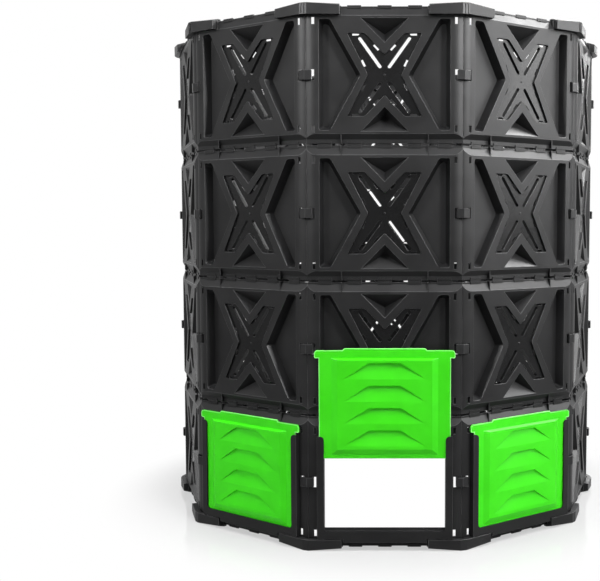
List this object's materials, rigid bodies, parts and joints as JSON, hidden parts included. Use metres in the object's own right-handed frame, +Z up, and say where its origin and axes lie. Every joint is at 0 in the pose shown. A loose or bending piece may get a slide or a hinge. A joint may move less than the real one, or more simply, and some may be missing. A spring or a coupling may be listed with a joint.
{
  "type": "compost bin",
  "caption": "Tall open compost bin: stacked rings of black moulded vent panels with cross-shaped air slots, clipped into a polygon, with green hatch doors that slide up at the foot.",
  "frame": {"origin": "on the ground at the middle of the bin", "axes": "+Z up, the front hatch towards -Y, +X to the right seen from the front"},
  "size_m": [1.0536, 1.0089, 1.1115],
  "materials": {
    "black_plastic": "satin moulded polypropylene",
    "green_plastic": "satin moulded polypropylene"
  },
  "bodies": {
    "bin": {"front_hatch_panel": "black_plastic", "right_hatch_panel": "black_plastic", "tier1_vent_panel_03": "black_plastic", "tier1_vent_panel_04": "black_plastic", "tier1_vent_panel_05": "black_plastic", "tier1_vent_panel_06": "black_plastic", "tier1_vent_panel_07": "black_plastic", "tier1_vent_panel_08": "black_plastic", "tier1_vent_panel_09": "black_plastic", "left_hatch_panel": "black_plastic", "tier1_seam_clips": "black_plastic", "tier2_vent_panel_01": "black_plastic", "tier2_vent_panel_02": "black_plastic", "tier2_vent_panel_03": "black_plastic", "tier2_vent_panel_04": "black_plastic", "tier2_vent_panel_05": "black_plastic", "tier2_vent_panel_06": "black_plastic", "tier2_vent_panel_07": "black_plastic", "tier2_vent_panel_08": "black_plastic", "tier2_vent_panel_09": "black_plastic", "tier2_vent_panel_10": "black_plastic", "tier2_seam_clips": "black_plastic", "tier3_vent_panel_01": "black_plastic", "tier3_vent_panel_02": "black_plastic", "tier3_vent_panel_03": "black_plastic", "tier3_vent_panel_04": "black_plastic", "tier3_vent_panel_05": "black_plastic", "tier3_vent_panel_06": "black_plastic", "tier3_vent_panel_07": "black_plastic", "tier3_vent_panel_08": "black_plastic", "tier3_vent_panel_09": "black_plastic", "tier3_vent_panel_10": "black_plastic", "tier3_seam_clips": "black_plastic", "tier4_vent_panel_01": "black_plastic", "tier4_vent_panel_02": "black_plastic", "tier4_vent_panel_03": "black_plastic", "tier4_vent_panel_04": "black_plastic", "tier4_vent_panel_05": "black_plastic", "tier4_vent_panel_06": "black_plastic", "tier4_vent_panel_07": "black_plastic", "tier4_vent_panel_08": "black_plastic", "tier4_vent_panel_09": "black_plastic", "tier4_vent_panel_10": "black_plastic", "tier4_seam_clips": "black_plastic", "rim_corner_cap_01": "black_plastic", "rim_corner_cap_02": "black_plastic", "rim_corner_cap_03": "black_plastic", "rim_corner_cap_04": "black_plastic", "rim_corner_cap_05": "black_plastic", "rim_corner_cap_06": "black_plastic", "rim_corner_cap_07": "black_plastic", "rim_corner_cap_08": "black_plastic", "rim_corner_cap_09": "black_plastic", "rim_corner_cap_10": "black_plastic", "corner_feet": "black_plastic"},
    "front_door": {"front_door": "green_plastic"},
    "left_door": {"left_door": "green_plastic"},
    "right_door": {"right_door": "green_plastic"}
  },
  "joints": [
    {"name": "front_door_slide", "type": "slide", "parent": "bin", "child": "front_door", "axis": [0, 0, 1], "range_m": [-0.1565, 0.0285]},
    {"name": "left_door_slide", "type": "slide", "parent": "bin", "child": "left_door", "axis": [0, 0, 1], "range_m": [0, 0.185]},
    {"name": "right_door_slide", "type": "slide", "parent": "bin", "child": "right_door", "axis": [0, 0, 1], "range_m": [0, 0.185]}
  ]
}
